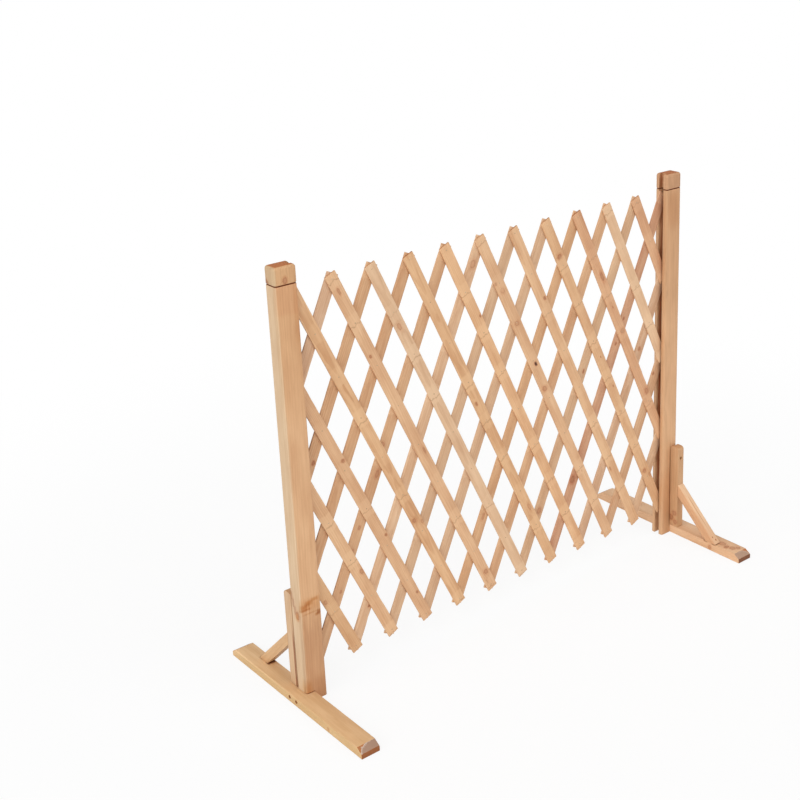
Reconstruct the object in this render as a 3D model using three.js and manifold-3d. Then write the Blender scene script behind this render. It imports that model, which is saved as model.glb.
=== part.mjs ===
// An expandable wooden fence: a riveted lattice of thin slats between two channel posts, each on its own foot.
// Millimetres, +Z up. The origin is on the floor midway between the posts, +X runs along the fence,
// and the front layer of slats is on the -Y side.

import * as THREE from 'three';
import { mergeVertices } from 'three/addons/utils/BufferGeometryUtils.js';
import Module from 'manifold-3d';

const wasm = await Module();
wasm.setup();

// Lattice: slats cross at equal steps along their length, and every crossing is riveted.
const slatPitch = 113.8;
const slatWidth = 27;
const slatThickness = 4;
const layerGap = 0.3;
const restAngleDegrees = 65.25;
const latticeColumns = 11;
const latticeRows = 8;
const freeTipOverrun = 12;
const channelTipOverrun = 8;

// Rivets and the fixed pivot pins.
const rivetShankRadius = 1.5;
const rivetHeadRadius = 2.6;
const rivetHeadHeight = 0.8;
const rivetSides = 6;
const runningGap = 0.3;
const pinRadius = 2;
const pinSeatDepth = 7;
const pinSides = 8;
const pinDropBelowCap = 16;

// Posts: a milled channel that opens towards the lattice, closed by a cap block.
const postWidth = 50;
const postDepth = 36.5;
const postHeight = 916;
const postEdgeRadius = 5;
const postWebThickness = 12;
const slotWidth = 14;
const pivotToMouth = 7;
const jointChamfer = 2.5;
const edgeArcSteps = 3;
const leastCornerRadius = 1;

const capHeight = 38;
const capTopRounding = 7;
const capGrooveDepth = 12;
const spigotLength = 12;
const spigotThickness = 12;

// Feet: a board across the fence, an upright against the post and a slanted brace.
const footLength = 500;
const footWidth = 44;
const footThickness = 21;
const footUnderPost = 20;
const footEndChamfer = 10;

const uprightWidth = 21;
const uprightDepth = 25.5;
const uprightTop = 245;
const uprightRounding = 7;

const braceDepth = 22;
const braceReach = 172;
const braceTop = 142;

// Fasteners of a foot: three screws in counterbores, and three brads.
const screwShankRadius = 2;
const screwHeadRadius = 3.8;
const screwHeadHeight = 3;
const screwTipLength = 4;
const screwSides = 8;
const footScrewLength = 48;
const footScrewRecess = 9;
const footScrewHeight = 11.5;
const uprightScrewLength = 30;
const uprightScrewRecess = 4;
const uprightScrewHeight = 215;

const bradRadius = 0.9;
const bradHeadRadius = 1.6;
const bradHeadHeight = 0.8;
const bradSides = 6;
const bradRecess = 1;
const footBradLength = 42;
const braceBradLength = 30;
const braceTopBradDrop = 16;
const braceFootBradInset = 14;

const seatGap = 0.3;
const cutOverrun = 2;

// Derived sizes.
const restAngle = THREE.MathUtils.degToRad(restAngleDegrees);
const columnPitch = 2 * slatPitch * Math.cos(restAngle);
const rowPitch = slatPitch * Math.sin(restAngle);
const halfRows = latticeRows / 2;
const latticeWidth = latticeColumns * columnPitch;
const topRowHeight = postHeight - pinDropBelowCap;
const layerOffset = (layerGap + slatThickness) / 2;
const wallThickness = (postDepth - slotWidth) / 2;
const wallCentre = (slotWidth + wallThickness) / 2;
const postOuterX = pivotToMouth - postWidth;
const webInnerX = postOuterX + postWebThickness;
const footInnerX = postOuterX + footUnderPost;
const footOuterX = footInnerX - footWidth;
const uprightNearY = postDepth / 2 + seatGap;
const uprightFarY = uprightNearY + uprightDepth;
const footTop = footThickness + seatGap;

const paleWood = material('#dab48a', 0.62);
const slatWood = material('#dcb993', 0.66);
const backSlatWood = material('#d5aa82', 0.68);
const steel = material('#9b958c', 0.4, 0.9);
const yellowZinc = material('#b59a5a', 0.38, 0.9);

function material(colour, roughness, metalness = 0) {
  return new THREE.MeshStandardMaterial({ color: colour, roughness, metalness });
}

// Solids.
function toManifold(geometry) {
  const bare = geometry.index ? geometry.clone() : mergeVertices(geometry);
  bare.deleteAttribute('normal');
  bare.deleteAttribute('uv');
  const merged = mergeVertices(bare);
  return new wasm.Manifold(new wasm.Mesh({
    numProp: 3,
    vertProperties: new Float32Array(merged.attributes.position.array),
    triVerts: new Uint32Array(merged.index.array),
  }));
}

function toGeometry(solid) {
  const mesh = solid.getMesh();
  const geometry = new THREE.BufferGeometry();
  geometry.setAttribute('position', new THREE.BufferAttribute(new Float32Array(mesh.vertProperties), 3));
  geometry.setIndex(new THREE.BufferAttribute(new Uint32Array(mesh.triVerts), 1));
  geometry.computeVertexNormals();
  return geometry;
}

function cut(body, tools) {
  const solid = tools.reduce((rest, tool) => rest.subtract(toManifold(tool)), toManifold(body));
  return toGeometry(solid);
}

function join(parts) {
  return toGeometry(parts.map(toManifold).reduce((whole, part) => whole.add(part)));
}

function block(xRange, yRange, zRange) {
  const [low, high] = [0, 1].map((end) => new THREE.Vector3(xRange[end], yRange[end], zRange[end]));
  const size = high.clone().sub(low);
  const centre = low.add(high).divideScalar(2);
  return new THREE.BoxGeometry(size.x, size.y, size.z).translate(centre.x, centre.y, centre.z);
}

// A round bar or a drill, lying along a unit direction from a start point.
function turned(profile, sides, start, direction) {
  const points = profile.map(([radius, along]) => new THREE.Vector2(radius, along));
  const turn = new THREE.Quaternion().setFromUnitVectors(new THREE.Vector3(0, 1, 0), direction);
  return new THREE.LatheGeometry(points, sides)
    .applyQuaternion(turn)
    .translate(start.x, start.y, start.z);
}

// The corner radius of a polygon whose flats clear a round bar by the running gap.
function holeRadius(barRadius, sides) {
  return (barRadius + runningGap) / Math.cos(Math.PI / sides);
}

function rod(radius, length, sides, start, direction) {
  return turned([[0, 0], [radius, 0], [radius, length], [0, length]], sides, start, direction);
}

// A rectangle with rounded corners, drawn in by an inset. Its corners keep a small radius at any inset.
function roundedOutline(xRange, yRange, radius, inset) {
  const reach = Math.max(radius - inset, leastCornerRadius);
  const setback = inset + reach;
  const corners = [
    [xRange[1] - setback, yRange[1] - setback],
    [xRange[0] + setback, yRange[1] - setback],
    [xRange[0] + setback, yRange[0] + setback],
    [xRange[1] - setback, yRange[0] + setback],
  ];
  return corners.flatMap(([x, y], quarter) => Array.from({ length: edgeArcSteps + 1 }, (_, step) => {
    const angle = (quarter + step / edgeArcSteps) * Math.PI / 2;
    return new THREE.Vector2(x + reach * Math.cos(angle), y + reach * Math.sin(angle));
  }));
}

// A prism whose outline changes from level to level.
function stackedPrism(levels) {
  const count = levels[0].outline.length;
  const positions = levels.flatMap(({ outline, z }) => outline.flatMap((point) => [point.x, point.y, z]));
  const indices = [];
  for (let level = 1; level < levels.length; level += 1) {
    for (let side = 0; side < count; side += 1) {
      const next = (side + 1) % count;
      const [lower, upper] = [(level - 1) * count, level * count];
      indices.push(lower + side, lower + next, upper + next, lower + side, upper + next, upper + side);
    }
  }
  const top = (levels.length - 1) * count;
  for (const [a, b, c] of THREE.ShapeUtils.triangulateShape(levels[0].outline, [])) {
    indices.push(c, b, a, top + a, top + b, top + c);
  }
  const geometry = new THREE.BufferGeometry();
  geometry.setAttribute('position', new THREE.Float32BufferAttribute(positions, 3));
  geometry.setIndex(indices);
  geometry.computeVertexNormals();
  return geometry;
}

// A board cut to a profile in the YZ plane, as thick as its X range.
function profileBoard(shape, xRange) {
  const board = new THREE.ExtrudeGeometry(shape, { depth: xRange[1] - xRange[0], bevelEnabled: false });
  return board.rotateX(Math.PI / 2).rotateZ(Math.PI / 2).translate(xRange[0], 0, 0);
}

function mesh(name, geometry, finish) {
  const piece = new THREE.Mesh(geometry, finish);
  piece.name = name;
  return piece;
}

// Fasteners.
function screw(length, start, direction) {
  const profile = [
    [0, 0],
    [screwHeadRadius, 0],
    [screwShankRadius, screwHeadHeight],
    [screwShankRadius, length - screwTipLength],
    [0, length],
  ];
  return turned(profile, screwSides, start, direction);
}

// The drilled way of a screw: a counterbore for the head and a pilot for the shank.
function screwDrill(length, recess, start, direction) {
  const wide = holeRadius(screwHeadRadius, screwSides);
  const narrow = holeRadius(screwShankRadius, screwSides);
  const floor = runningGap + screwHeadHeight;
  const profile = [
    [0, -recess - cutOverrun],
    [wide, -recess - cutOverrun],
    [wide, floor],
    [narrow, floor],
    [narrow, length + runningGap],
    [0, length + runningGap],
  ];
  return turned(profile, screwSides, start, direction);
}

function brad(length, start, direction) {
  const profile = [
    [0, 0],
    [bradHeadRadius, 0],
    [bradHeadRadius, bradHeadHeight],
    [bradRadius, bradHeadHeight],
    [bradRadius, length],
    [0, length],
  ];
  return turned(profile, bradSides, start, direction);
}

function bradDrill(length, approach, start, direction) {
  const wide = holeRadius(bradHeadRadius, bradSides);
  const narrow = holeRadius(bradRadius, bradSides);
  const floor = bradHeadHeight + runningGap;
  const profile = [
    [0, -approach],
    [wide, -approach],
    [wide, floor],
    [narrow, floor],
    [narrow, length + runningGap],
    [0, length + runningGap],
  ];
  return turned(profile, bradSides, start, direction);
}

// One post with its foot. The pivot line of the lattice is at x = 0, and the foot looks towards -X.
const inward = new THREE.Vector3(1, 0, 0);
const towardsPost = new THREE.Vector3(0, -1, 0);
const backward = new THREE.Vector3(0, 1, 0);
const upward = new THREE.Vector3(0, 0, 1);
const downward = new THREE.Vector3(0, 0, -1);

const footScrewStarts = [-wallCentre, wallCentre].map((y) => (
  new THREE.Vector3(footOuterX + footScrewRecess, y, footScrewHeight)
));
const uprightScrewStart = new THREE.Vector3(
  postOuterX + uprightWidth / 2,
  uprightFarY - uprightScrewRecess,
  uprightScrewHeight,
);
const footScrewDrills = footScrewStarts.map((start) => (
  screwDrill(footScrewLength, footScrewRecess, start, inward)
));
const uprightScrewDrill = screwDrill(uprightScrewLength, uprightScrewRecess, uprightScrewStart, towardsPost);

// The brace's upper edge falls from the upright to the foot board.
const braceFall = braceTop - footTop;
const braceRun = braceReach - uprightFarY - seatGap;
const braceAngle = Math.atan2(braceFall, braceRun);
const braceCentreX = postOuterX + uprightWidth / 2;

function braceEdgeHeight(y) {
  return footTop + (braceReach - y) * Math.tan(braceAngle);
}

const footBradStart = new THREE.Vector3(braceCentreX, (uprightNearY + uprightFarY) / 2, bradRecess);
const braceTopBradHeight = braceTop - braceTopBradDrop;
const braceTopBradStart = new THREE.Vector3(
  braceCentreX,
  braceReach - (braceTopBradHeight - footTop) / Math.tan(braceAngle) - bradHeadRadius - bradRecess,
  braceTopBradHeight,
);
const braceFootBradY = braceReach - braceFootBradInset;
const braceFootBradTop = braceEdgeHeight(braceFootBradY) - bradHeadRadius - bradRecess;
const braceFootBradStart = new THREE.Vector3(braceCentreX, braceFootBradY, braceFootBradTop);
const braceFootBradLength = braceFootBradTop - footThickness / 2;

const footBradDrill = bradDrill(footBradLength, bradRecess + cutOverrun, footBradStart, upward);
const braceTopBradDrill = bradDrill(braceBradLength, braceDepth, braceTopBradStart, towardsPost);
const braceFootBradDrill = bradDrill(braceFootBradLength, braceDepth, braceFootBradStart, downward);

function pivotPin() {
  const reach = slotWidth / 2 + pinSeatDepth;
  const start = new THREE.Vector3(0, reach, topRowHeight);
  return rod(pinRadius, 2 * reach, pinSides, start, towardsPost);
}

function pivotPinDrill() {
  const reach = slotWidth / 2 + pinSeatDepth + runningGap;
  const start = new THREE.Vector3(0, reach, topRowHeight);
  return rod(holeRadius(pinRadius, pinSides), 2 * reach, pinSides, start, towardsPost);
}

function postSection(inset) {
  const halfDepth = postDepth / 2;
  return roundedOutline([postOuterX, pivotToMouth], [-halfDepth, halfDepth], postEdgeRadius, inset);
}

function post() {
  const body = stackedPrism([
    { outline: postSection(0), z: 0 },
    { outline: postSection(0), z: postHeight - jointChamfer },
    { outline: postSection(jointChamfer), z: postHeight },
  ]);
  const halfSlot = slotWidth / 2;
  const halfDepth = postDepth / 2 + cutOverrun;
  const channel = block(
    [webInnerX, pivotToMouth + cutOverrun],
    [-halfSlot, halfSlot],
    [-cutOverrun, postHeight + cutOverrun],
  );
  const footNotch = block(
    [postOuterX - cutOverrun, footInnerX + seatGap],
    [-halfDepth, halfDepth],
    [-cutOverrun, footTop],
  );
  return cut(body, [channel, footNotch, pivotPinDrill(), uprightScrewDrill, ...footScrewDrills]);
}

// The cap's spigot fills the back of the channel, clear of the slat ends.
function cap() {
  const base = postHeight + seatGap;
  const top = postHeight + capHeight;
  const roundedTop = Array.from({ length: edgeArcSteps + 1 }, (_, step) => {
    const angle = step / edgeArcSteps * Math.PI / 2;
    return {
      outline: postSection(capTopRounding * (1 - Math.cos(angle))),
      z: top - capTopRounding * (1 - Math.sin(angle)),
    };
  });
  const body = stackedPrism([
    { outline: postSection(jointChamfer), z: base },
    { outline: postSection(0), z: base + jointChamfer },
    ...roundedTop,
  ]);
  const halfSlot = slotWidth / 2;
  const groove = block(
    [pivotToMouth - capGrooveDepth, pivotToMouth + cutOverrun],
    [-halfSlot, halfSlot],
    [base - cutOverrun, top + cutOverrun],
  );
  const halfSpigot = halfSlot - seatGap;
  const spigotStart = webInnerX + seatGap;
  const spigot = block(
    [spigotStart, spigotStart + spigotThickness],
    [-halfSpigot, halfSpigot],
    [base - spigotLength, base + cutOverrun],
  );
  return join([cut(body, [groove]), spigot]);
}

function foot() {
  const half = footLength / 2;
  const shape = new THREE.Shape([
    new THREE.Vector2(-half, 0),
    new THREE.Vector2(half, 0),
    new THREE.Vector2(half, footThickness - footEndChamfer),
    new THREE.Vector2(half - footEndChamfer, footThickness),
    new THREE.Vector2(footEndChamfer - half, footThickness),
    new THREE.Vector2(-half, footThickness - footEndChamfer),
  ]);
  return cut(profileBoard(shape, [footOuterX, footInnerX]), [
    ...footScrewDrills,
    footBradDrill,
    braceFootBradDrill,
  ]);
}

function upright() {
  const shape = new THREE.Shape();
  shape.moveTo(uprightNearY, footTop);
  shape.lineTo(uprightFarY, footTop);
  shape.lineTo(uprightFarY, uprightTop - uprightRounding);
  shape.absarc(uprightFarY - uprightRounding, uprightTop - uprightRounding, uprightRounding, 0, Math.PI / 2);
  shape.absarc(
    uprightNearY + uprightRounding,
    uprightTop - uprightRounding,
    uprightRounding,
    Math.PI / 2,
    Math.PI,
  );
  shape.closePath();
  const outline = new THREE.Shape(shape.getPoints(edgeArcSteps));
  return cut(profileBoard(outline, [postOuterX, postOuterX + uprightWidth]), [
    uprightScrewDrill,
    footBradDrill,
    braceTopBradDrill,
  ]);
}

function brace() {
  const nearY = uprightFarY + seatGap;
  const uprightCut = braceDepth / Math.cos(braceAngle);
  const footCut = braceDepth / Math.sin(braceAngle);
  const shape = new THREE.Shape([
    new THREE.Vector2(nearY, braceTop - uprightCut),
    new THREE.Vector2(braceReach - footCut, footTop),
    new THREE.Vector2(braceReach, footTop),
    new THREE.Vector2(nearY, braceTop),
  ]);
  return cut(profileBoard(shape, [postOuterX, postOuterX + uprightWidth]), [
    braceTopBradDrill,
    braceFootBradDrill,
  ]);
}

function standingPost(prefix) {
  const group = new THREE.Group();
  const [firstFootScrew, secondFootScrew] = footScrewStarts;
  const pieces = [
    ['post', post(), paleWood],
    ['cap', cap(), paleWood],
    ['foot', foot(), paleWood],
    ['upright', upright(), paleWood],
    ['brace', brace(), paleWood],
    ['foot_screw_1', screw(footScrewLength, firstFootScrew, inward), yellowZinc],
    ['foot_screw_2', screw(footScrewLength, secondFootScrew, inward), yellowZinc],
    ['upright_screw', screw(uprightScrewLength, uprightScrewStart, towardsPost), yellowZinc],
    ['upright_brad', brad(footBradLength, footBradStart, upward), steel],
    ['brace_top_brad', brad(braceBradLength, braceTopBradStart, towardsPost), steel],
    ['brace_foot_brad', brad(braceFootBradLength, braceFootBradStart, downward), steel],
    ['pivot_pin', pivotPin(), steel],
  ];
  for (const [name, geometry, finish] of pieces) group.add(mesh(`${prefix}_${name}`, geometry, finish));
  return group;
}

// The lattice. Columns count from the near post's pivot line, rows from the bottom.
// A front slat leaves the top row at its column and falls to the right, and a back slat rises to the right.
const firstSlat = 1 - halfRows;
const lastSlat = latticeColumns - 1;

function isSlat(index) {
  return index >= firstSlat && index <= lastSlat;
}

// The rows that a slat reaches, from its left end, before a post line stops it.
function frontRows(index) {
  const high = Math.min(latticeRows, latticeRows + 2 * index);
  const low = Math.max(0, latticeRows - 2 * (latticeColumns - index));
  return Array.from({ length: high - low + 1 }, (_, step) => high - step);
}

function backRows(index) {
  const low = Math.max(0, -2 * index);
  const high = Math.min(latticeRows, 2 * (latticeColumns - index));
  return Array.from({ length: high - low + 1 }, (_, step) => low + step);
}

function crossingPoint(column, row) {
  return new THREE.Vector3(
    column * columnPitch - latticeWidth / 2,
    0,
    topRowHeight - (latticeRows - row) * rowPitch,
  );
}

function polygonHole(centre, radius, sides) {
  const points = Array.from({ length: sides }, (_, side) => {
    const angle = side * 2 * Math.PI / sides;
    return new THREE.Vector2(centre + radius * Math.cos(angle), radius * Math.sin(angle));
  });
  return new THREE.Path(points);
}

// A slat lies along local X from its left crossing, with its middle plane at y = 0.
function slatGeometry(steps, startOverrun, endOverrun, holes) {
  const half = slatWidth / 2;
  const [start, end] = [-startOverrun, steps * slatPitch + endOverrun];
  const shape = new THREE.Shape([
    new THREE.Vector2(start, -half),
    new THREE.Vector2(end, -half),
    new THREE.Vector2(end, half),
    new THREE.Vector2(start, half),
  ]);
  shape.holes = holes;
  return new THREE.ExtrudeGeometry(shape, { depth: slatThickness, bevelEnabled: false })
    .rotateX(Math.PI / 2)
    .translate(0, slatThickness / 2, 0);
}

// A rivet is driven tight through the front slat and turns in the slat behind, under its rear head.
function rivet(along) {
  const frontFace = -slatThickness / 2;
  const underHead = slatThickness / 2 + layerGap + slatThickness + runningGap;
  const profile = [
    [0, frontFace - rivetHeadHeight],
    [rivetHeadRadius, frontFace],
    [rivetShankRadius, 0],
    [rivetShankRadius, underHead],
    [rivetHeadRadius, underHead],
    [0, underHead + rivetHeadHeight],
  ];
  return turned(profile, rivetSides, new THREE.Vector3(along, 0, 0), backward);
}

function tipOverrun(column) {
  const onPostLine = column === 0 || column === latticeColumns;
  return onPostLine ? channelTipOverrun : freeTipOverrun;
}

function slatNumber(index) {
  return String(index - firstSlat + 1).padStart(2, '0');
}

// A slat of either layer. A partner slat is riveted at each row where there is one, and where the top row
// has none, a post's pin holds the slat.
function slat(layer, index) {
  const rows = layer.rows(index);
  const steps = rows.map((row, step) => ({
    along: step * slatPitch,
    riveted: isSlat(layer.partner(index, row)),
    top: row === latticeRows,
  }));
  const riveted = steps.filter((step) => step.riveted);
  const pinned = steps.filter((step) => step.top && !step.riveted);
  const pinHoles = pinned.map(({ along }) => polygonHole(along, holeRadius(pinRadius, pinSides), pinSides));
  const rivetHoles = riveted.map(({ along }) => (
    polygonHole(along, holeRadius(rivetShankRadius, rivetSides), rivetSides)
  ));
  const holes = layer.carriesRivets ? pinHoles : [...pinHoles, ...rivetHoles];
  const [left, right] = [rows[0], rows[rows.length - 1]].map((row) => tipOverrun(layer.column(index, row)));
  const bare = slatGeometry(rows.length - 1, left, right, holes);
  const rivets = layer.carriesRivets ? riveted.map(({ along }) => rivet(along)) : [];
  const piece = mesh(`${layer.name}_${slatNumber(index)}`, join([bare, ...rivets]), layer.wood);
  piece.position.copy(crossingPoint(layer.column(index, rows[0]), rows[0]));
  piece.position.y = layer.offset;
  piece.rotation.y = layer.angle;
  return piece;
}

const frontLayer = {
  name: 'front_slat',
  rows: frontRows,
  column: (index, row) => index + (latticeRows - row) / 2,
  partner: (index, row) => index - row + halfRows,
  offset: -layerOffset,
  angle: restAngle,
  carriesRivets: true,
  wood: slatWood,
};

const backLayer = {
  name: 'back_slat',
  rows: backRows,
  column: (index, row) => index + row / 2,
  partner: (index, row) => index + row - halfRows,
  offset: layerOffset,
  angle: -restAngle,
  carriesRivets: false,
  wood: backSlatWood,
};

function lattice() {
  const group = new THREE.Group();
  for (let index = firstSlat; index <= lastSlat; index += 1) {
    group.add(slat(frontLayer, index), slat(backLayer, index));
  }
  return group;
}

const fence = new THREE.Group();
const nearPost = standingPost('near');
nearPost.position.x = -latticeWidth / 2;
const farPost = standingPost('far');
farPost.position.x = latticeWidth / 2;
farPost.rotation.z = Math.PI;
fence.add(nearPost, farPost, lattice());

export default fence;
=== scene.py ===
# An expandable wooden fence on a pale floor: a riveted lattice of thin slats between two channel posts,
# each on its own foot. Blender units are metres, and the sizes named here are millimetres.

import math
import random

import bmesh
import bpy
from mathutils import Matrix, Vector, noise


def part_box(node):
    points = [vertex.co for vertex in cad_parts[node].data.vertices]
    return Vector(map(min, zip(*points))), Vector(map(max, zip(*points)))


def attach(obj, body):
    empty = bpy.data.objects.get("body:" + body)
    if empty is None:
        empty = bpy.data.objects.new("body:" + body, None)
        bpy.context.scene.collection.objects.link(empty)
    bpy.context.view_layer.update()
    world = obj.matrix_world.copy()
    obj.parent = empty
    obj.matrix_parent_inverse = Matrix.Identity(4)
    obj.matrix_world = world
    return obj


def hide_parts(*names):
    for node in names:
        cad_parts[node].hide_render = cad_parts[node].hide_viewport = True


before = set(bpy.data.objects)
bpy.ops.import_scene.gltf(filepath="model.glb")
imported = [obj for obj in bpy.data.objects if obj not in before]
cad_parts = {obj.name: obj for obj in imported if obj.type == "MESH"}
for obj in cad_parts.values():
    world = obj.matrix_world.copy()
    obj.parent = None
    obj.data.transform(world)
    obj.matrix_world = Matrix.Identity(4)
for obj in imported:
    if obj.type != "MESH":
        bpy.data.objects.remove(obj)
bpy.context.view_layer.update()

MM = 0.001

# The photograph's camera, in a frame of 800 by 800 pixels.
FRAME_PIXELS = 800
FOCAL_PIXELS = 1350.2
AIM_PIXEL = (500, 300)
SENSOR_MM = 36
CAMERA_PLACE = Vector((-1.8136, -2.1539, 1.6764))
CAMERA_FORWARD = Vector((0.6131, 0.7265, -0.3105))
CAMERA_RIGHT = Vector((0.7590, -0.6506, -0.0236))

# Lattice.
SLAT_PITCH = 113.8
SLAT_WIDTH = 27
SLAT_THICKNESS = 4
SLAT_EDGE = 0.6
LAYER_GAP = 0.3
SLAT_ANGLE = math.radians(65.25)
ROWS = 8
COLUMNS = 11
FIRST_SLAT = 1 - ROWS // 2
FREE_TIP = 12
CHANNEL_TIP = 8
RIVET_HEAD = 1.5
RIVET_SHANK = 1.5
RIVET_REAR_SHARE = 0.9
RIVET_RISE = 0.35
RIVET_REST = 0.3
RIVET_COLLAR = 0.2

# How much the slats differ: width and end angle, tone in steps of 1/255, and the log that each was cut from.
WIDTH_SCATTER = 0.1
SKEW_DEGREES = 1.6
LIGHT_SCATTER = (-5, 3)
WARM_SCATTER = 1
# Painted shade on the back layer, which lies behind the front one: darker and a little bluer, in steps of
# 1/255.
BACK_SHADE = 9
BACK_SHADE_BLUE = 3
PITH_ACROSS = 45
PITH_THROUGH = (9, 34)
SLAT_RINGS = (2.6, 4.2)
SLAT_CONTRAST = (0.16, 0.38)

# Posts and caps.
POST_EDGE = 5
WEB = 12
SLOT = 14
CAP_HEIGHT = 38
CAP_GROOVE = 12
CAP_EDGE = 7
JOINT_EDGE = 2.5
LIP_EDGE = 0.8
LEAST_CORNER = 1
SPIGOT = 12
SPIGOT_EDGE = 0.6
SEAT_GAP = 0.3
PIN_RADIUS = 2
PIN_EDGE = 0.4

# Feet.
FOOT_END_CHAMFER = 10
FOOT_END_RUN = 16
FOOT_EDGE = 1
UPRIGHT_ROUNDING = 8
BRACE_DEPTH = 22
SMALL_EDGE = 0.8
HOLE_CLEARANCE = 0.4
SCREW_HEAD = 3.8
SCREW_SHANK = 2
SCREW_HEAD_HEIGHT = 3
SCREW_TIP = 4
THREAD_START = 1.2
THREAD_STEP = 0.8
THREAD_SHARES = (0.72, 0.98)
FOOT_SCREW_RECESS = 9
UPRIGHT_SCREW_RECESS = 4
BRAD_HEAD = 1.6
BRAD_SHANK = 0.9
BRAD_HEAD_HEIGHT = 0.8
BRAD_TIP = 2

# Fineness of the meshes.
ARC_STEPS = 6
END_STEPS = 5
QUARTER_TURN = [math.pi / 2 * step / END_STEPS for step in range(END_STEPS + 1)]
ROUND_SIDES = 24
SMALL_SIDES = 16
SHARP_DEGREES = 32
SMOOTH_DEGREES = 35
WORN_ANGLE = 0.3
OVERRUN = 2

# Each kind of board: the step of its slices, how deep its surface sinks and its edges are dented, its seed.
KINDS = {"post": (14, 0.15, 0.4, 3.1), "cap": (6, 0.15, 0.6, 5.7), "foot": (12, 0.12, 0.5, 8.2),
         "upright": (9, 0.12, 0.5, 11.4), "brace": (9, 0.12, 0.5, 14.9)}
SLAT_SLICE, SLAT_SAG, SLAT_DENT = 8, 0.1, 0.9
SLAT_SEED = {"front": 0.5, "back": 20.25}
SCATTER_SEED = 7

# Wear along, across and through a board: waves and dents per millimetre, and the noise at which dents start.
WAVES = Vector((0.011, 0.06, 0.06))
DENTS = Vector((0.035, 0.2, 0.2))
DENT_START = 0.32

# Light and floor. Radius, fade and reach are in metres: the floor is plain white beyond the second distance.
WORLD_LEVEL = 0.5
FLOOR_RADIUS = 40
FLOOR_DROP = 0.4
FLOOR_SHADE = 0.86
FLOOR_FADE = (0.9, 2.2)
CAMERA_REACH = 200

# Wood: depth and strength of its relief, and the (pale, deep) colours of each board as sRGB hex digits.
RELIEF, RELIEF_STRENGTH = 0.12, 0.3
BOARD_WOOD = {
    "near_post": ("deb287", "c6946a"), "far_post": ("d4a77e", "b98d66"),
    "near_cap": ("d4a77a", "b07f55"), "far_cap": ("c99b75", "a4744f"),
    "near_foot": ("e0b98c", "c69765"), "far_foot": ("e6c09a", "c69369"),
    "near_upright": ("cfae8a", "b68f6a"), "far_upright": ("cfa47c", "b7895f"),
    "near_brace": ("d3ac80", "b3885f"), "far_brace": ("e6c09a", "c6956e"),
}
SLAT_WOOD = {
    "pale": ("e8c39e", "c59269"),
    "warm": ("e3b98e", "be865b"),
    "red": ("dcae86", "b47853"),
    "grey": ("e3be98", "c39670"),
}
SLAT_TONES = {
    "front": "warm warm warm warm warm grey warm warm warm warm warm red grey red".split(),
    "back": "pale warm warm warm pale grey grey warm warm grey red pale warm grey".split(),
}

# How each kind of board was cut from its log, and how its sawn ends look.
# Uprights and braces have pale sawn ends: partly the end grain's own colour, and partly a painted highlight,
# as on the upright's lit top.
PLAIN_CUT = dict(ring_width=5, contrast=0.2, end_tint="f4e6d8", end_ring="c79a72")
BOARD_CUT = {
    "post": dict(pith=(0, 14, -60), ring_width=4.2, contrast=0.27),
    "cap": dict(pith=(0, 6, -70), ring_width=3.2, contrast=0.3, end_tint="dfac83", end_ring="a86c41",
                end_facing=(0.84, 0.98)),
    "foot": dict(pith=(0, 20, -70), ring_width=6, contrast=0.2, end_tint="d8a885", end_ring="a5744e",
                 end_facing=(0.25, 0.45)),
    "upright": dict(pith=(0, 60, 40), **PLAIN_CUT),
    "brace": dict(pith=(0, 50, 36), **PLAIN_CUT),
}

# Knots, stains, painted shade and painted light, placed after the photograph, in each board's own
# millimetres: along the grain, across and through the board. On posts and caps these are height, x and y.
# A knot is (along, across, through, long radius, cross radius, darkness).
KNOT_DEPTH_SHARE = 1.6
NO_KNOT = 9
KNOTS = {
    "near_post": ((243, -43, 13, 8, 1.5, 0.35), (228, -43, 8, 9, 1.6, 0.35), (212, -43, 3, 9, 1.8, 0.3),
                  (203, -42, -4, 8, 4, 0.25)),
    "far_post": ((610, -43, 8, 6, 4, 0.3), (395, -12, -18, 7, 5, 0.4)),
    "near_cap": ((9, -20, -18, 6, 4, 0.35), (4, -42, 15, 5, 4, 0.6)),
    "far_cap": ((22, -40, -14, 5, 4, 0.4),),
    "near_foot": ((118, 2, 2, 3, 2, 0.5),),
    "far_foot": ((429, 25, -10, 10, 7, 0.3), (448, 30, -10, 5, 6, 0.45), (462, 24, -10, 7, 6, 0.3),
                 (471, 14, -10, 5, 5, 0.3), (405, 44, 2, 4, 3, 0.3), (60, 30, -10, 5, 4, 0.35)),
    "far_upright": ((24, 21, -8, 6, 4, 0.45), (38, 21, 3, 5, 3.5, 0.35), (14, 21, 6, 5, 3, 0.35)),
    "far_brace": ((165, 8, 0, 1.8, 1.5, 1), (156, 13, 0, 1.6, 1.3, 0.9)),
}


def stain_and_painted_light(centre, reach, tint, soft=0.16, cover=0, ends_only=False):
    """A region of a board whose wood is multiplied by a tint, or covered with it where cover is 1: a stain on
    the wood, painted shade or a painted highlight.
    """
    return centre, reach, tint, soft, cover, ends_only


# Painted shade for the narrow gap beside the far upright and under a brace's tip.
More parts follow.
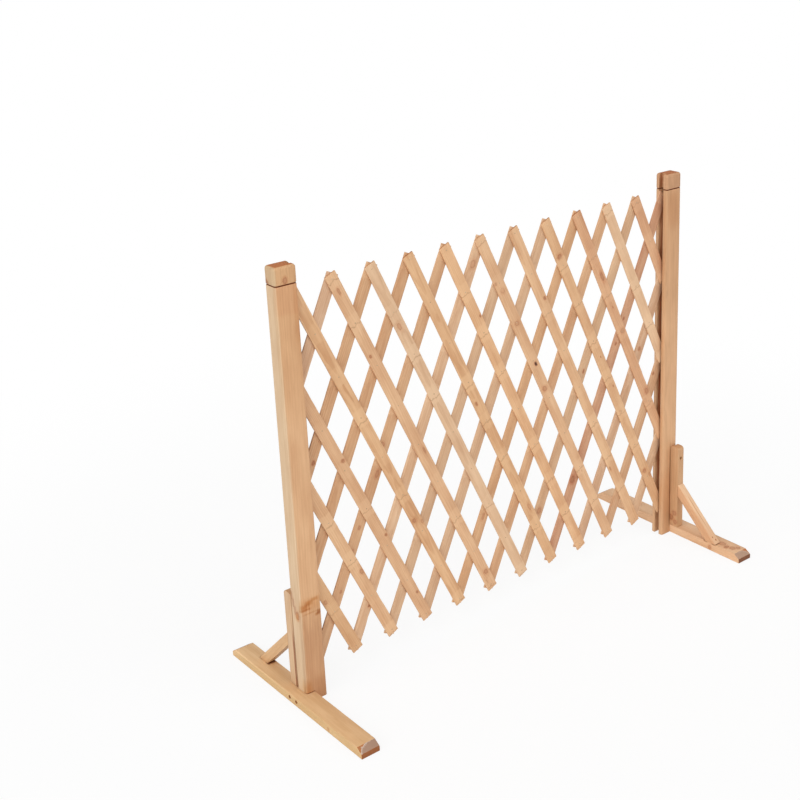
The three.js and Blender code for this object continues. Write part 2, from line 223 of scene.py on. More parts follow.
PAINTED_DEEP_SHADE = (0.36, 0.24, 0.16)
# Painted shade for the joint between post and cap, and where a post sits on its foot.
PAINTED_JOINT_SHADE = (0.5, 0.34, 0.24)
# Painted shade for the gap between the near post and its upright.
PAINTED_GAP_SHADE = (0.43, 0.21, 0.13)
REDDISH = (0.92, 0.84, 0.77)
# Painted light: a tint that makes a face paler and cooler, as where the left light falls on it.
PAINTED_FACE_LIGHT = (0.89, 1.06, 1.22)
# Painted shade inside a post's channel, where its walls shade it.
CHANNEL_SHADE = stain_and_painted_light((460, -13, 0), (520, 18.5, 7.6), (0.58, 0.23, 0.1))
# Painted light over the near post's outer face.
OUTER_FACE_LIGHT = stain_and_painted_light((460, -46, 0), (600, 7.5, 21), PAINTED_FACE_LIGHT)
# A painted highlight along the near post's front outer corner.
CORNER_HIGHLIGHT = stain_and_painted_light((460, -42, -17.3), (600, 1.1, 1.1), (1.1, 1.14, 1.2))
# Painted shade in the joint between post and cap: on the post's top, then on the cap's foot.
JOINT_SHADE = stain_and_painted_light((916.5, -18, 0), (2, 40, 40), PAINTED_JOINT_SHADE)
CAP_JOINT_SHADE = stain_and_painted_light((-0.5, -18, 0), (2, 40, 40), PAINTED_JOINT_SHADE)
# Painted shade that makes a foot's outer side face darker.
FOOT_SIDE_SHADE = stain_and_painted_light((200, 0, 3), (300, 2, 12), (0.87, 0.905, 0.83))
STAINS_AND_LIGHT = {
    "near_post": (
        # Painted shade in the channel and in the joint below the cap, painted light on the outer face and a
        # painted highlight along its front corner.
        CHANNEL_SHADE, OUTER_FACE_LIGHT, CORNER_HIGHLIGHT, JOINT_SHADE,
        # Broad tints over the front face: darker towards the bottom, a little darker and reddish near the
        # top.
        stain_and_painted_light((60, -14, -18), (150, 40, 9), (0.82, 0.76, 0.73), 0.4),
        stain_and_painted_light((850, -14, -18), (190, 40, 9), (0.95, 0.92, 0.88), 0.4),
        stain_and_painted_light((12, 0, -18), (40, 24, 9), (0.9, 0.82, 0.74), 0.4),
        stain_and_painted_light((890, -15, -18), (34, 40, 8), (0.97, 0.92, 0.9)),
        stain_and_painted_light((855, 2, -16), (60, 7, 9), REDDISH, 0.4),
        stain_and_painted_light((227, -19, -18), (13, 26, 5), (0.94, 0.83, 0.68), 0.7),
        stain_and_painted_light((217, -31, -18), (2.4, 11, 5), (0.78, 0.58, 0.4), 0.6),
        stain_and_painted_light((224, -33, -18), (6, 9, 5), (0.8, 0.6, 0.4), 0.7),
        stain_and_painted_light((231, -22, -18), (5, 8, 5), (0.8, 0.62, 0.43), 0.7),
        stain_and_painted_light((236, -8, -18), (4, 9, 5), (0.84, 0.68, 0.5), 0.7),
        stain_and_painted_light((203, 2, -17), (5, 6, 7), (0.66, 0.46, 0.29), 0.6),
        stain_and_painted_light((199, -4, -18), (3, 5, 5), (0.78, 0.6, 0.42), 0.7),
        stain_and_painted_light((207, -20, -18), (2, 16, 5), (0.9, 0.79, 0.66), 0.6),
        stain_and_painted_light((201, -43, -4), (9, 4, 5), (0.96, 0.72, 0.46), 0.6),
        stain_and_painted_light((24, -38, -14), (24, 9, 9), (0.86, 0.71, 0.54), 0.6),
        # Painted shade in the gap between the post and its upright, darker low down.
        stain_and_painted_light((85, -43, 18), (85, 3, 2.6), PAINTED_GAP_SHADE, 0.3),
        stain_and_painted_light((30, -43, 18), (60, 3, 3.2), PAINTED_GAP_SHADE)),
    "far_post": (
        # Painted shade in the channel and in the joint below the cap.
        CHANNEL_SHADE, JOINT_SHADE,
        # Broad tints over the front face: a little darker towards the top and the bottom, lighter in the
        # middle, reddish near the top.
        stain_and_painted_light((800, -18, 18), (150, 40, 9), (0.95, 0.92, 0.89), 0.5),
        stain_and_painted_light((868, -18, 18), (46, 18, 8), REDDISH, 0.4),
        stain_and_painted_light((350, -14, 18), (240, 40, 9), (1.06, 1.06, 1.06), 0.5),
        stain_and_painted_light((110, -14, 18), (60, 20, 9), (0.96, 0.88, 0.82), 0.5),
        # Painted shade on the post along the gap beside its upright.
        stain_and_painted_light((133, -20.3, 18.3), (113, 1.3, 1.2), PAINTED_DEEP_SHADE)),
    "near_cap": (
        # Painted shade in the cap's groove, and painted light that makes its outer face paler.
        stain_and_painted_light((18, 1, 0), (30, 5.9, 7.6), (0.6, 0.45, 0.35)), stain_and_painted_light((18, -46, 0), (24, 7.5, 21), PAINTED_FACE_LIGHT),
        # A painted highlight along the cap's front outer corner, and painted shade in the joint at its foot.
        stain_and_painted_light((12, -42, -17.3), (22, 1.1, 1.1), (1.08, 1.12, 1.16)), CAP_JOINT_SHADE),
    # Painted shade in the cap's groove and in the joint at its foot.
    "far_cap": (stain_and_painted_light((18, 1, 0), (30, 5.9, 7.6), (0.7, 0.46, 0.32)), CAP_JOINT_SHADE),
    # Painted shade on each foot's outer side face; on the near foot also a paler patch on its top.
    "near_foot": (FOOT_SIDE_SHADE, stain_and_painted_light((440, 22, -10), (120, 40, 4), (1.1, 1.14, 1.17), 0.5)),
    "far_foot": (FOOT_SIDE_SHADE,),
    # Painted shade on the upright's edge beside its gap with the post.
    "near_upright": (stain_and_painted_light((50, 0, -10.5), (90, 4, 1.8), PAINTED_GAP_SHADE, 0.4),),
    "far_brace": (
        # Painted shade on the brace's side face toward the lattice; then a brown streak along its top.
        stain_and_painted_light((110, 21, 11), (150, 2.5, 14), (0.9, 0.8, 0.72)),
        stain_and_painted_light((75, 11, 0), (38, 0.9, 3), (0.7, 0.5, 0.36), 0.5)),
    "front_slat_09": (stain_and_painted_light((353, 3, -2), (4.6, 2.8, 6), (0.16, 0.08, 0.05), 0.5),),
}

# The sawn ends of a foot: on the slope a pale curved rim and grey inside it, and brown on the upright face.
# Each is (out from the end, across, through), reach, tint, softness, cover. Across is a share of the width.
END_STAINS = (
    ((24, 1.5, 0), (42, 1.55, 90), {"near": (0.6, 0.48, 0.39), "far": (0.5, 0.36, 0.27)}, 0.02, 1),
    ((24, 1.5, 0), (40.5, 1.5, 90), {"near": (0.4, 0.25, 0.175), "far": (0.46, 0.3, 0.21)}, 0.03, 0.8),
    ((0, 0.5, 6.2), (2, 1, 7.6), {"near": (0.31, 0.105, 0.032), "far": (0.2, 0.075, 0.032)}, 0.06, 0.92),
)

# Shadows under a brace: how far the outer one lies inside the tip, and their reach along the foot and down.
TIP_INSET = 5
TIP_SHADOW, INNER_SHADOW, SHADOW_DEPTH = 8, 7, 3
UNDER_BRACE = (0.25, 0.13, 0.08)

# Slat knots by layer and number: (steps from the left crossing, across, long radius, cross radius, darkness).
SLAT_KNOTS = {
    "front": {
        1: ((0.69, -7, 5, 4, 0.2),),
        2: ((2.39, 8, 6, 4, 0.25),),
        3: ((1.81, 7, 4, 3.6, 0.5), (3.79, 9, 3, 2.6, 0.5), (5.41, 6.5, 3, 2.4, 0.5)),
        4: ((5.67, -5, 5, 4, 0.35), (5.82, 10.5, 5, 3, 0.15)),
        5: ((0.28, 0, 9, 2.6, 0.3), (1.76, -4.5, 3.4, 2.6, 0.45), (4.2, 6, 9, 2.2, 0.3), (7.64, 3, 6, 5, 0.3),
            (7.87, -6, 5.5, 1.2, 0.7)),
        6: ((1.32, -2.5, 9, 4, 0.2),),
        7: ((3.53, -5, 4.5, 2.4, 0.5), (6.5, 4, 10, 3.5, 0.15)),
        8: ((1.64, 9, 3, 2.2, 0.45), (6.06, 4.5, 1.6, 1.4, 0.8)),
        9: ((0.97, -10, 3.5, 3, 0.4), (1.19, 0, 7, 5, 0.1), (2.02, 0, 5.5, 5, 0.2), (3.1, 3, 6, 3.6, 1),
            (3.74, -1.5, 6.5, 5.5, 0.3), (6.13, 1.5, 3, 1.4, 0.4)),
        10: ((1.66, 7, 4, 3, 0.5), (6.35, -8, 6, 2, 0.35)),
        11: ((0.79, 0, 6.5, 5.5, 0.45), (3.46, 2.5, 2.4, 1.6, 0.5), (4.3, 5, 3, 1.4, 0.5),
             (4.97, -4, 2, 1.6, 0.6), (6.81, -2.5, 6, 5, 0.4), (7, 9, 6, 3, 0.35)),
        12: ((1.54, 3.5, 12, 4, 0.4), (2.34, 1, 2.6, 1.4, 0.55), (3, 3.5, 6.5, 6, 0.4),
             (4.75, 6, 9, 5, 0.3), (4.93, -8, 6, 4, 0.35)),
    },
    "back": {
        2: ((0.4, -6, 4.5, 3.4, 0.6),),
        4: ((1.37, -4, 3, 2.5, 0.3), (2.15, -2, 4.5, 3.4, 0.6), (2.62, 0, 4, 3, 0.3), (3.67, -3, 8, 4, 0.4),
            (4.23, 7, 5, 5, 0.2)),
        5: ((0.79, -5, 3.4, 2.6, 0.55), (7.55, 0, 9, 6, 0.12)),
        8: ((1.72, 1, 8, 3, 0.25),),
        9: ((5.87, 9, 5, 4, 0.3),),
        10: ((1.29, 0, 7, 5.5, 0.3), (4.34, -3, 4.5, 2.6, 0.65)),
        11: ((1.7, 6, 9, 6, 0.6), (4.2, 0, 2, 1.5, 0.35), (4.72, 3, 3.4, 2.6, 0.6),
             (5.28, 3, 3.2, 2.4, 0.6)),
        12: ((4.4, 1.5, 4, 3.4, 0.5),),
        13: ((3.61, 9, 3.5, 3, 0.5),),
    },
}


def srgb(code):
    """A colour written as six hex digits, as the shader's linear values."""
    channels = [int(code[i:i + 2], 16) / 255 for i in (0, 2, 4)]
    linear = [c / 12.92 if c <= 0.04045 else ((c + 0.055) / 1.055) ** 2.4 for c in channels]
    return (*linear, 1)


# Meshes

def rounded_polygon(corners):
    """Points of a polygon whose corners (x, y, radius) are rounded by arcs."""
    points = []
    for i, (x, y, radius) in enumerate(corners):
        here = Vector((x, y))
        before = (Vector(corners[i - 1][:2]) - here).normalized()
        after = (Vector(corners[(i + 1) % len(corners)][:2]) - here).normalized()
        if radius == 0:
            points.append(here)
            continue
        half = before.angle(after) / 2
        reach = radius / math.tan(half)
        centre = here + (before + after).normalized() * radius / math.sin(half)
        start, end = here + before * reach - centre, here + after * reach - centre
        turn = start.angle_signed(end)
        for step in range(ARC_STEPS + 1):
            angle = -turn * step / ARC_STEPS
            cos, sin = math.cos(angle), math.sin(angle)
            points.append(centre + Vector((start.x * cos - start.y * sin, start.x * sin + start.y * cos)))
    return points


def stack(levels, place):
    """A closed body of outlines (u, v) with equal numbers of points: levels are (outline, w)."""
    bm = bmesh.new()
    rings = [[bm.verts.new(place(*point, w)) for point in outline] for outline, w in levels]
    bm.faces.new(rings[0][::-1])
    bm.faces.new(rings[-1])
    for lower, upper in zip(rings, rings[1:]):
        for i in range(len(lower)):
            j = (i + 1) % len(lower)
            bm.faces.new((lower[i], lower[j], upper[j], upper[i]))
    bmesh.ops.recalc_face_normals(bm, faces=bm.faces)
    return bm


def prism(outline, low, high, place):
    """A closed prism of an outline (u, v) from low to high along w. place maps u, v, w to the part."""
    return stack([(outline, low), (outline, high)], place)


def lathe(profile, start, direction, sides=ROUND_SIDES, bm=None):
    """A closed turned body, added to bm if there is one: profile points are (radius, along) from start on."""
    bm = bm or bmesh.new()
    turn = Vector((0, 0, 1)).rotation_difference(Vector(direction)).to_matrix()
    rings = []
    for radius, along in profile:
        ring = []
        for side in range(sides if radius else 1):
            angle = side * 2 * math.pi / sides
            point = Vector((radius * math.cos(angle), radius * math.sin(angle), along))
            ring.append(bm.verts.new(start + turn @ point * MM))
        rings.append(ring)
    for lower, upper in zip(rings, rings[1:]):
        for side in range(sides):
            after = (side + 1) % sides
            corners = [lower[side % len(lower)], lower[after % len(lower)],
                       upper[after % len(upper)], upper[side % len(upper)]]
            bm.faces.new(list(dict.fromkeys(corners)))
    bmesh.ops.recalc_face_normals(bm, faces=bm.faces)
    return bm


def cut(bm, tools):
    """bm with the tools taken away."""
    target = holder("cut_target", bm)
    for tool in tools:
        other = holder("cut_tool", tool)
        modifier = target.modifiers.new("cut", "BOOLEAN")
        modifier.operation = "DIFFERENCE"
        modifier.solver = "EXACT"
        modifier.object = other
    depsgraph = bpy.context.evaluated_depsgraph_get()
    result = bmesh.new()
    result.from_mesh(target.evaluated_get(depsgraph).to_mesh())
    for modifier in target.modifiers:
        bpy.data.objects.remove(modifier.object)
    bpy.data.objects.remove(target)
    return result


def holder(name, bm):
    """A new object in the scene that takes over bm."""
    mesh = bpy.data.meshes.new(name)
    bm.to_mesh(mesh)
    bm.free()
    obj = bpy.data.objects.new(name, mesh)
    bpy.context.scene.collection.objects.link(obj)
    return obj


def soften(bm, radius, segments=3, chosen=lambda edge: True):
    """Round the sharp edges that are chosen."""
    sharp = [e for e in bm.edges
             if len(e.link_faces) == 2 and e.calc_face_angle() > math.radians(SHARP_DEGREES) and chosen(e)]
    bmesh.ops.bevel(bm, geom=sharp, offset=radius * MM, segments=segments, profile=0.5,
                    affect="EDGES", clamp_overlap=True)
    return bm


def slice_along(bm, origin, direction, length, step):
    """Cut the faces across direction at even steps, so that they can bend and wear."""
    count = max(1, round(length / step))
    for i in range(1, count):
        bmesh.ops.bisect_plane(
            bm, geom=bm.verts[:] + bm.edges[:] + bm.faces[:],
            plane_co=origin + direction * (length * i / count * MM), plane_no=direction)


def wear(bm, board, seed, sag, dent):
    """Sink the surface a little, unevenly, and dent the edges here and there. It never grows."""
    bm.normal_update()
    shift = Vector((seed * 7.31, seed * 3.17, seed * 1.93))
    for vert in bm.verts:
        point = board @ vert.co
        depth = sag * (0.5 + 0.5 * noise.noise(point * WAVES + shift))
        if any(len(e.link_faces) == 2 and e.calc_face_angle() > WORN_ANGLE for e in vert.link_edges):
            chip = noise.noise(point * DENTS + 3 * shift)
            depth += dent * max(0, chip - DENT_START) / (1 - DENT_START)
        vert.co -= vert.normal * depth * MM


def finish_mesh(name, bm, material, body, nodes):
    """Make a piece of the object from bm: it rides on a body and stands for the nodes."""
    obj = holder(name, bm)
    mesh = obj.data
    mesh.validate()
    mesh.shade_smooth()
    mesh.set_sharp_from_angle(angle=math.radians(SMOOTH_DEGREES))
    mesh.materials.append(material)
    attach(obj, body)
    if nodes:
        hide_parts(*nodes)


# Node trees

class Tree:
    """Short calls that add nodes to a node tree. An input is a value or a socket."""

    def __init__(self, tree):
        self.tree = tree

    def add(self, kind, inputs=(), **settings):
        node = self.tree.nodes.new(kind)
        for key, value in settings.items():
            setattr(node, key, value)
        for key, value in dict(inputs).items():
            self.feed(node.inputs[key], value)
        return node

    def feed(self, socket, value):
        if isinstance(value, bpy.types.NodeSocket):
            self.tree.links.new(value, socket)
        else:
            socket.default_value = value

    def math(self, operation, *values):
        return self.add("ShaderNodeMath", enumerate(values), operation=operation).outputs[0]

    def times(self, a, b):
        return self.math("MULTIPLY", a, b)

    def times_plus(self, a, b, c):
        return self.math("MULTIPLY_ADD", a, b, c)

    def vary(self, base, value, amount):
        """base plus amount times what value has above one half."""
        return self.times_plus(self.math("SUBTRACT", value, 0.5), amount, base)

    def vector(self, operation, *values):
        node = self.add("ShaderNodeVectorMath", enumerate(values), operation=operation)
        return node.outputs["Value" if operation in ("DOT_PRODUCT", "LENGTH") else "Vector"]

    def noise(self, vector, scale, detail=2, roughness=0.5):
        place = self.vector("MULTIPLY", vector, scale)
        return self.add("ShaderNodeTexNoise", {
            "Vector": place, "Scale": 1, "Detail": detail, "Roughness": roughness}).outputs["Fac"]

    def chance(self, value):
        """A random number that belongs to the value, from 0 to 1."""
        return self.add("ShaderNodeTexWhiteNoise", {"W": value}, noise_dimensions="1D").outputs["Value"]

    def band(self, value, low, high, to_low=0, to_high=1):
        """value eased from to_low at low to to_high at high."""
        return self.add("ShaderNodeMapRange", {
            "Value": value, "From Min": low, "From Max": high, "To Min": to_low, "To Max": to_high},
            interpolation_type="SMOOTHSTEP").outputs[0]

    def mix(self, factor, a, b, blend="MIX"):
        node = self.add("ShaderNodeMix", {0: factor, 6: a, 7: b}, data_type="RGBA", blend_type=blend)
        return node.outputs[2]


def group(name, results, vectors=(), numbers=(), colours=()):
    """A new node group, as its Tree, its inputs' sockets by name and its results' sockets by name."""
    tree = bpy.data.node_groups.new(name, "ShaderNodeTree")
    for kind, names in (("Vector", vectors), ("Float", numbers), ("Color", colours)):
        for socket_name in names:
            tree.interface.new_socket(socket_name, in_out="INPUT", socket_type=f"NodeSocket{kind}")
    for socket_name, kind in results.items():
        tree.interface.new_socket(socket_name, in_out="OUTPUT", socket_type=f"NodeSocket{kind}")
    return Tree(tree), tree.nodes.new("NodeGroupInput").outputs, tree.nodes.new("NodeGroupOutput").inputs


def knot_group():
    """The reach of a knot, 1 at its rim and less inside, or the last knot's reach where that is less."""
    t, given, result = group(
        "knot", {"Reach": "Float", "Darkness": "Float"}, vectors=("Vector", "Centre", "Radii"),
        numbers=("Darkness", "Last Reach", "Last Darkness"))
    offset = t.vector("SUBTRACT", given["Vector"], given["Centre"])
    wobble = t.add("ShaderNodeTexNoise", {"Vector": offset, "Scale": 0.25, "Detail": 2}).outputs["Fac"]
    reach = t.vector("LENGTH", t.vector("DIVIDE", offset, given["Radii"]))
    reach = t.times(reach, t.times_plus(wobble, 0.9, 0.55))
    nearer = t.math("LESS_THAN", reach, given["Last Reach"])
    step = t.math("SUBTRACT", given["Darkness"], given["Last Darkness"])
    t.feed(result["Reach"], t.math("MINIMUM", reach, given["Last Reach"]))
    t.feed(result["Darkness"], t.times_plus(nearer, step, given["Last Darkness"]))
    return t.tree


def wood_group():
    """Sawn softwood cut from a log. Vector is in millimetres with X along the grain."""
    t, given, result = group(
        "sawn_wood", {"Color": "Color", "Roughness": "Float", "Height": "Float"},
        vectors=("Vector", "Offset", "Pith"), numbers=("Ring Width", "Contrast", "Reach", "Darkness", "End"),
        colours=("Pale", "Deep", "End Tint", "End Ring"))
    reach, darkness = given["Reach"], given["Darkness"]
    place = t.vector("ADD", given["Vector"], given["Offset"])
    slow_sway = t.noise(place, (0.007, 0.03, 0.03))
    quick_sway = t.noise(t.vector("ADD", place, (400, 90, 70)), (0.02, 0.05, 0.05))
    from_pith = t.vector("SUBTRACT", given["Vector"], given["Pith"])
    radial = t.vector("LENGTH", t.vector("MULTIPLY", from_pith, (0, 1, 1)))
    run_out = t.times(t.add("ShaderNodeSeparateXYZ", {0: given["Vector"]}).outputs[0], 0.008)
    swirl = t.math("POWER", 2.718, t.times(t.times(reach, reach), -0.3))
    radial = t.math("ADD", radial, run_out)
    radial = t.vary(radial, slow_sway, 9)
    radial = t.vary(radial, quick_sway, 2.5)
    radial = t.times_plus(swirl, 4, radial)
    phase = t.math("DIVIDE", radial, given["Ring Width"])
    part = t.math("FRACT", phase)
    ring = t.times(t.band(part, 0.15, 0.86), t.band(part, 0.9, 1, 1, 0))
    ring = t.times(ring, t.times_plus(t.chance(t.math("FLOOR", phase)), 0.7, 0.3))
    streak = t.noise(place, (0.006, 0.3, 0.3), 3, 0.6)
    blotch = t.noise(place, (0.011, 0.045, 0.045))
    fibre = t.noise(place, (0.05, 2.2, 2.2), 4, 0.65)
    fleck = t.band(t.noise(t.vector("ADD", place, (30, 7, 19)), (0.09, 1.3, 1.3), 1), 0.66, 0.74)

    depth = t.times(ring, given["Contrast"])
    depth = t.vary(depth, streak, 0.7)
    depth = t.vary(depth, blotch, 1.1)
    depth = t.times_plus(fleck, 0.22, depth)
    depth = t.math("ADD", depth, 0.28)
    colour = t.mix(t.math("MINIMUM", t.math("MAXIMUM", depth, 0), 1), given["Pale"], given["Deep"])
    fine = t.times_plus(fibre, 0.16, 0.92)
    fine = t.add("ShaderNodeCombineXYZ", {0: fine, 1: fine, 2: fine}).outputs[0]
    colour = t.vector("MULTIPLY", colour, fine)

    strength = t.math("MINIMUM", t.times_plus(darkness, 1.3, 0.25), 1)
    halo = t.band(reach, 1, 2.2, 0.6, 0)
    reddened = t.mix(1, colour, srgb("dba27c"), "MULTIPLY")
    colour = t.mix(t.times(halo, strength), colour, reddened)
    waves = t.times_plus(t.math("SINE", t.times(reach, 13)), 0.5, 0.5)
    heart = t.mix(darkness, srgb("d09c74"), srgb("864a26"))
    heart = t.mix(t.times(waves, 0.25), heart, t.mix(1, heart, srgb("b88868"), "MULTIPLY"))
    rim = t.times(t.band(reach, 0.72, 0.95), t.band(reach, 1, 1.22, 1, 0))
    inside = t.times(t.band(reach, 0.85, 1.12, 0.9, 0), strength)
    colour = t.mix(inside, colour, heart)
    rim_strength = t.times(t.times_plus(darkness, -0.6, 0.95), strength)
    colour = t.mix(t.times(rim, rim_strength), colour, srgb("8f5535"))

    end_rings = t.times_plus(ring, 0.45, t.times(fibre, 0.3))
    end_colour = t.mix(end_rings, t.mix(1, colour, given["End Tint"], "MULTIPLY"), given["End Ring"])
    t.feed(result["Color"], t.mix(given["End"], colour, end_colour))
    rough = t.times_plus(streak, 0.18, 0.5)
    t.feed(result["Roughness"], t.times_plus(given["End"], 0.15, rough))
    height = t.times_plus(fibre, 0.7, t.times(ring, 0.35))
    t.feed(result["Height"], t.times_plus(rim, -1.2, height))
    return t.tree


def crossing_group():
    """What clamping leaves on a slat: a paler patch at each crossing, and at some a fine line across."""
    t, given, result = group(
        "crossing_marks", {"Color": "Color", "Line": "Float"}, vectors=("Vector", "Offset"),
        colours=("Color", "Patch"))
    along = t.add("ShaderNodeSeparateXYZ", {0: given["Vector"]}).outputs[0]
    place = t.vector("ADD", given["Vector"], given["Offset"])
    wander = t.noise(place, (0.05, 0.13, 0.13))
    steps = t.math("DIVIDE", along, SLAT_PITCH)
    number = t.math("FLOOR", t.math("ADD", steps, 0.5))
    off_centre = t.times(t.math("SUBTRACT", steps, number), SLAT_PITCH)
    off_centre = t.vary(off_centre, wander, 16)
    seed = t.add("ShaderNodeSeparateXYZ", {0: given["Offset"]}).outputs[0]
    chance = t.chance(t.math("ADD", number, seed))
    patch = t.band(t.math("ABSOLUTE", off_centre), 19, 24, 0.65, 0)
    colour = t.mix(t.times(patch, chance), given["Color"], given["Patch"])
    line_place = t.times_plus(chance, 18, -6)
    from_line = t.math("ABSOLUTE", t.math("SUBTRACT", off_centre, line_place))
    line = t.band(from_line, 0.5, 2.4, 1, 0)
    broken = t.band(t.noise(place, (0.1, 0.3, 0.3), 1), 0.22, 0.46)
    line = t.times(t.times(line, broken), t.band(chance, 0.45, 0.5))
    t.feed(result["Color"], t.mix(t.times(line, 0.38), colour, srgb("94623e")))
    t.feed(result["Line"], line)
    return t.tree


def stain_and_light_group():
    """A soft-edged oval region of a board that is tinted, or covered with the tint: a stain, painted shade or
    a painted highlight.
    """
    t, given, result = group(
        "stain_and_painted_light", {"Color": "Color"}, vectors=("Vector", "Offset", "Centre", "Radii", "Tint"),
        numbers=("Cover", "Start", "End", "Mask"), colours=("Color",))
    place = t.vector("DIVIDE", t.vector("SUBTRACT", given["Vector"], given["Centre"]), given["Radii"])
    squared = t.vector("MULTIPLY", place, place)
    squared = t.vector("MULTIPLY", squared, squared)
    ragged = t.noise(t.vector("ADD", given["Vector"], given["Offset"]), (0.02, 0.35, 0.35))
    distance = t.math("POWER", t.vector("DOT_PRODUCT", squared, (1, 1, 1)), 0.25)
    raggedness = t.times_plus(t.math("SUBTRACT", given["End"], given["Start"]), 0.9, 0.12)
    distance = t.vary(distance, ragged, raggedness)
    inside = t.times(t.band(distance, given["Start"], given["End"], 1, 0), given["Mask"])
    tinted_wood = t.vector("MULTIPLY", given["Color"], given["Tint"])
    target = t.mix(given["Cover"], tinted_wood, given["Tint"])
    t.feed(result["Color"], t.mix(inside, given["Color"], target))
    return t.tree


KNOT = knot_group()
WOOD = wood_group()
CROSSING = crossing_group()
STAIN_AND_LIGHT = stain_and_light_group()


def board_matrix(origin, along, across):
    """From the part's metres to a board's millimetres: X along its grain, Y across it and Z through it."""
    along, across = along.normalized(), across.normalized()
    turn = Matrix((along, across, along.cross(across))).to_4x4()
    return turn @ Matrix.Scale(1 / MM, 4) @ Matrix.Translation(-origin)


def new_material(name):
    """A new material, with its Tree and its shader."""
    material = bpy.data.materials.new(name)
    material.use_nodes = True
    return material, Tree(material.node_tree), material.node_tree.nodes["Principled BSDF"]


def wood(name, board, seed, pale, deep, pith, ring_width, contrast, knots=(), stains_and_light=(), clamped=False,
         end_tint="c9a184", end_ring="8c5e3e", end_facing=(0.55, 0.75)):
    """A wood material for one board. A face counts as an end between the two values of end_facing."""
    material, t, shader = new_material(name)
    coordinates = t.add("ShaderNodeTexCoord").outputs
    turn = board.to_3x3().normalized()
    vector = t.add("ShaderNodeMapping", {
        "Vector": coordinates["Object"], "Location": board.translation,
        "Rotation": turn.to_euler(), "Scale": (1 / MM, 1 / MM, 1 / MM)}).outputs[0]
    facing = t.math("ABSOLUTE", t.vector("DOT_PRODUCT", coordinates["Normal"], tuple(turn[0])))
    end = t.band(facing, *end_facing)
    reach, darkness = NO_KNOT, 0
    for along, across, through, long_radius, cross_radius, dark in knots:
        reach, darkness = t.add("ShaderNodeGroup", {
            "Vector": vector, "Centre": (along, across, through),
            "Radii": (long_radius, cross_radius, cross_radius * KNOT_DEPTH_SHARE),
            "Darkness": dark, "Last Reach": reach, "Last Darkness": darkness}, node_tree=KNOT).outputs
    offset = (seed * 613, seed * 71, seed * 37)
    colour, roughness, height = t.add("ShaderNodeGroup", {
        "Vector": vector, "Offset": offset, "Pith": pith, "Ring Width": ring_width, "Contrast": contrast,
        "Reach": reach, "Darkness": darkness, "End": end, "Pale": srgb(pale), "Deep": srgb(deep),
        "End Tint": srgb(end_tint), "End Ring": srgb(end_ring)}, node_tree=WOOD).outputs
    if clamped:
        colour, line = t.add("ShaderNodeGroup", {
            "Vector": vector, "Offset": offset, "Color": colour,
            "Patch": srgb(pale)}, node_tree=CROSSING).outputs
        height = t.times_plus(line, -1.5, height)
    for centre, radii, tint, soft, cover, ends_only in stains_and_light:
        colour = t.add("ShaderNodeGroup", {
            "Vector": vector, "Offset": offset, "Centre": centre, "Radii": radii, "Tint": tint,
            "Cover": cover, "Start": 1 - soft, "End": 1 + soft, "Mask": end if ends_only else 1,
            "Color": colour}, node_tree=STAIN_AND_LIGHT).outputs[0]
    relief = t.add("ShaderNodeBump", {"Height": height, "Strength": RELIEF_STRENGTH, "Distance": RELIEF * MM})
    t.feed(shader.inputs["Base Color"], colour)
    t.feed(shader.inputs["Roughness"], roughness)
    t.feed(shader.inputs["Normal"], relief.outputs[0])
    shader.inputs["Specular IOR Level"].default_value = 0.35
    return material


def metal(name, bright, dull, roughness):
    """Fastener metal with a cloudy finish."""
    material, t, shader = new_material(name)
    place = t.add("ShaderNodeTexCoord").outputs["Object"]
    cloud = t.noise(place, (500, 500, 500), 3)
    t.feed(shader.inputs["Base Color"], t.mix(t.band(cloud, 0.35, 0.65), srgb(bright), srgb(dull)))
    t.feed(shader.inputs["Roughness"], t.times_plus(cloud, 0.25, roughness))
    shader.inputs["Metallic"].default_value = 0.85
    return material


# Standing posts

def side_of(prefix):
    """+1 for the near post and -1 for the far post, which is the near one turned half round."""
    return 1 if prefix == "near" else -1


def pivot_x(prefix):
    """Where the lattice's pivot line in a post lies, in the part's millimetres."""
    return -side_of(prefix) * COLUMNS * SLAT_PITCH * math.cos(SLAT_ANGLE)


def local_place(prefix):
    """A function from a post's own millimetres to the part's metres: x = 0 is the lattice's pivot line."""
    side, pivot = side_of(prefix), pivot_x(prefix)
    return lambda x, y, z: Vector((pivot + side * x, side * y, z)) * MM


def local_way(prefix, x, y, z):
    """A direction in a post's own axes, as a direction in the part."""
    place = local_place(prefix)
    return place(x, y, z) - place(0, 0, 0)


def local_box(prefix, node):
    """A node's box in its post's own millimetres: (lowest corner, highest corner)."""
    side, pivot = side_of(prefix), pivot_x(prefix)
    low, high = (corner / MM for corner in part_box(f"{prefix}_{node}"))
    xs = sorted(side * (x - pivot) for x in (low.x, high.x))
    ys = sorted(side * y for y in (low.y, high.y))
    return Vector((xs[0], ys[0], low.z)), Vector((xs[1], ys[1], high.z))


def local_block(prefix, low, high):
    """A box between two corners in a post's own millimetres."""
    outline = [(low[0], low[1]), (high[0], low[1]), (high[0], high[1]), (low[0], high[1])]
    return prism(outline, low[2], high[2], local_place(prefix))


def section(low, high, inset):
    """A post's outline drawn in by an inset, in its own millimetres."""
    radius = max(POST_EDGE - inset, LEAST_CORNER)
    return rounded_polygon([(x, y, radius) for x, y in (
        (high.x - inset, high.y - inset), (low.x + inset, high.y - inset),
        (low.x + inset, low.y + inset), (high.x - inset, low.y + inset))])


def rounded_levels(low, high, edge, z, way):
    """Levels that round a post's end off: way is 1 towards the top and -1 towards the bottom."""
    levels = [(section(low, high, edge * (1 - math.cos(angle))), z - way * edge * (1 - math.sin(angle)))
              for angle in QUARTER_TURN]
    return levels[::way]


